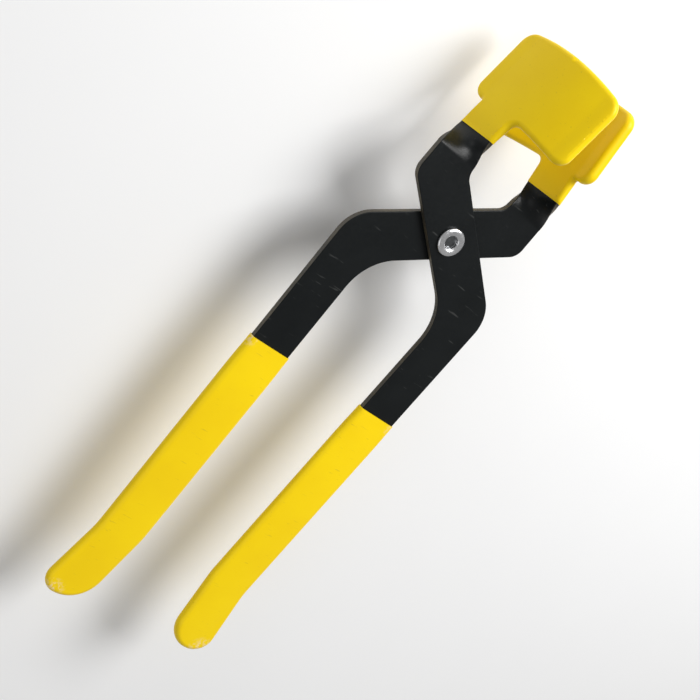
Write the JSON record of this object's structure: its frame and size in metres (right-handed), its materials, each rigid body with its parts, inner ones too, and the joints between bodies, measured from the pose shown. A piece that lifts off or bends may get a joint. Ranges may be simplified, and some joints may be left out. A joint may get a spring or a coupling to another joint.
{
  "type": "running pliers",
  "caption": "Stained-glass running pliers: black steel levers on a plated rivet, wide curved jaws and long handles in dipped yellow vinyl.",
  "frame": {"origin": "centre of the flat face of the rivet's lower head, on the pivot axis", "axes": "+X along the tool towards the jaws, +Z along the pivot axis towards the rivet's upper head, +Y towards the front lever's jaw"},
  "size_m": [0.2509, 0.0748, 0.0545],
  "materials": {
    "painted_steel": "satin black paint over pressed steel",
    "dipped_vinyl": "soft-sheen yellow dipped vinyl",
    "plated_steel": "bright plated"
  },
  "bodies": {
    "rear_half": {"rear_lever": "painted_steel", "rear_grip": "dipped_vinyl", "rear_jaw_cover": "dipped_vinyl", "pivot_rivet": "plated_steel"},
    "front_half": {"front_lever": "painted_steel", "front_grip": "dipped_vinyl", "front_jaw_cover": "dipped_vinyl"}
  },
  "joints": [
    {"name": "pivot", "type": "hinge", "parent": "rear_half", "child": "front_half", "pos_m": [0, 0, 0.00375], "axis": [0, 0, 1], "range_deg": [-11, 30]}
  ]
}
